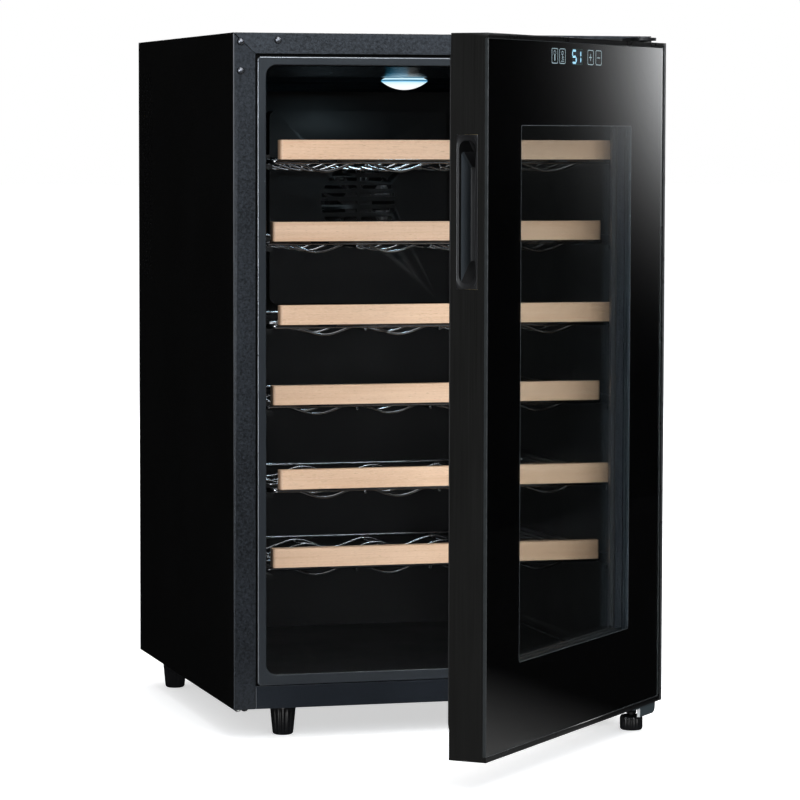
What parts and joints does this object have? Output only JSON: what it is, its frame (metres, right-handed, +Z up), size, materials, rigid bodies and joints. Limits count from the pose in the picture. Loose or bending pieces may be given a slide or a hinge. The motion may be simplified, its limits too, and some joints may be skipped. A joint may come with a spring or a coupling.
{
  "type": "wine cooler",
  "caption": "Free-standing thermoelectric wine cooler with a black-bordered clear glass door hinged on the right, wood-fronted sliding wire shelves and levelling feet.",
  "frame": {"origin": "centre of the cabinet's footprint on the floor under the feet", "axes": "+Z up, the opening faces -Y, +X to the right seen from the front"},
  "size_m": [0.4686, 0.8541, 0.744],
  "materials": {
    "black_powder_coat": "fine textured black powder coat on sheet steel, satin",
    "satin_rail": "smooth satin dark grey",
    "galvanised": "plain galvanised sheet, dull",
    "liner_plastic": "moulded black plastic, satin",
    "ceiling_plastic": "moulded black plastic, glossy",
    "polyurethane_foam": "rigid foam, pale yellow, porous",
    "lamp_plastic": "milky clear plastic dome, lit cold white from inside",
    "led_white": "white circuit board with light emitting diodes",
    "fan_black": "black moulded plastic",
    "sink_aluminium": "extruded aluminium fins",
    "ceramic_plate": "white ceramic",
    "case_steel": "folded steel case",
    "cord_rubber": "black rubber",
    "hinge_steel": "black painted steel plate",
    "screw_black": "black oxide screws",
    "zinc": "zinc plated",
    "foot_plastic": "black moulded plastic",
    "door_profile": "anodised or painted black profile, satin",
    "tempered_glass": "clear tempered glass, polished, ground edges",
    "black_print": "black enamel print behind the glass",
    "spacer_grey": "dark grey spacer profile",
    "clear_glass": "clear float glass",
    "trim_plastic": "black moulded plastic",
    "gasket_rubber": "soft dark grey vinyl seal",
    "magnet": "bonded ferrite strip",
    "cup_plastic": "black moulded plastic",
    "circuit_board": "green circuit board",
    "display": "cyan lit figures behind the glass",
    "bush_plastic": "natural acetal",
    "stop_steel": "grey painted steel plate",
    "chrome_wire": "chrome plated wire",
    "beech": "pale beech, clear lacquer, grain along the length"
  },
  "bodies": {
    "cabinet": {"side_panel_left": "black_powder_coat", "side_panel_right": "black_powder_coat", "top_panel": "black_powder_coat", "bottom_front_rail": "satin_rail", "base_plate": "galvanised", "back_panel": "galvanised", "inner_liner": "liner_plastic", "insulation_foam": "polyurethane_foam", "ceiling_panel": "ceiling_plastic", "lamp_lens": "lamp_plastic", "led_board": "led_white", "air_duct_cover": "liner_plastic", "inner_fan_frame": "fan_black", "cold_side_sink": "sink_aluminium", "thermoelectric_module": "ceramic_plate", "hot_side_sink": "sink_aluminium", "rear_fan_frame": "fan_black", "power_supply": "case_steel", "cord_gland": "cord_rubber", "upper_hinge": "hinge_steel", "lower_hinge": "hinge_steel", "hinge_screws": "screw_black", "hinge_hole_plugs": "fan_black", "base_bolts": "zinc", "back_panel_screws": "zinc"},
    "door": {"door_frame": "door_profile", "door_core": "polyurethane_foam", "outer_glass": "tempered_glass", "glass_border": "black_print", "spacer_frame": "spacer_grey", "inner_glass": "clear_glass", "door_inner_trim": "trim_plastic", "door_gasket": "gasket_rubber", "gasket_magnets": "magnet", "handle_cup": "cup_plastic", "control_board": "circuit_board", "display_module": "display", "hinge_bushes": "bush_plastic", "door_stop_plate": "stop_steel", "door_screws": "screw_black"},
    "inner_fan": {"inner_fan_rotor": "fan_black"},
    "rear_fan": {"rear_fan_rotor": "fan_black"},
    "foot_front_left_body": {"foot_front_left": "foot_plastic"},
    "foot_rear_left_body": {"foot_rear_left": "foot_plastic"},
    "foot_rear_right_body": {"foot_rear_right": "foot_plastic"},
    "foot_hinge_side_body": {"foot_hinge_side": "foot_plastic"},
    "shelf_1": {"shelf_1_wire": "chrome_wire", "shelf_1_front": "beech"},
    "shelf_2": {"shelf_2_wire": "chrome_wire", "shelf_2_front": "beech"},
    "shelf_3": {"shelf_3_wire": "chrome_wire", "shelf_3_front": "beech"},
    "shelf_4": {"shelf_4_wire": "chrome_wire", "shelf_4_front": "beech"},
    "shelf_5": {"shelf_5_wire": "chrome_wire", "shelf_5_front": "beech"},
    "shelf_6": {"shelf_6_wire": "chrome_wire", "shelf_6_front": "beech"}
  },
  "joints": [
    {"name": "door_hinge", "type": "hinge", "parent": "cabinet", "child": "door", "pos_m": [0.211, -0.267, 0.38], "axis": [0, 0, 1], "range_deg": [-48.3, 56.7]},
    {"name": "shelf_1_slide", "type": "slide", "parent": "cabinet", "child": "shelf_1", "axis": [0, -1, 0], "range_m": [-0.033, 0.017]},
    {"name": "shelf_2_slide", "type": "slide", "parent": "cabinet", "child": "shelf_2", "axis": [0, -1, 0], "range_m": [0, 0.05]},
    {"name": "shelf_3_slide", "type": "slide", "parent": "cabinet", "child": "shelf_3", "axis": [0, -1, 0], "range_m": [-0.033, 0.017]},
    {"name": "shelf_4_slide", "type": "slide", "parent": "cabinet", "child": "shelf_4", "axis": [0, -1, 0], "range_m": [0, 0.05]},
    {"name": "shelf_5_slide", "type": "slide", "parent": "cabinet", "child": "shelf_5", "axis": [0, -1, 0], "range_m": [-0.033, 0.017]},
    {"name": "shelf_6_slide", "type": "slide", "parent": "cabinet", "child": "shelf_6", "axis": [0, -1, 0], "range_m": [0, 0.05]},
    {"name": "inner_fan_spin", "type": "hinge", "parent": "cabinet", "child": "inner_fan", "pos_m": [0, 0.121, 0.56], "axis": [0, 1, 0], "continuous": true},
    {"name": "rear_fan_spin", "type": "hinge", "parent": "cabinet", "child": "rear_fan", "pos_m": [0, 0.2077, 0.56], "axis": [0, 1, 0], "continuous": true},
    {"name": "foot_front_left_screw", "type": "slide", "parent": "cabinet", "child": "foot_front_left_body", "axis": [0, 0, -1], "range_m": [0, 0.008]},
    {"name": "foot_rear_left_screw", "type": "slide", "parent": "cabinet", "child": "foot_rear_left_body", "axis": [0, 0, -1], "range_m": [0, 0.008]},
    {"name": "foot_rear_right_screw", "type": "slide", "parent": "cabinet", "child": "foot_rear_right_body", "axis": [0, 0, -1], "range_m": [0, 0.008]},
    {"name": "foot_hinge_side_screw", "type": "slide", "parent": "cabinet", "child": "foot_hinge_side_body", "axis": [0, 0, -1], "range_m": [0, 0.006]}
  ]
}
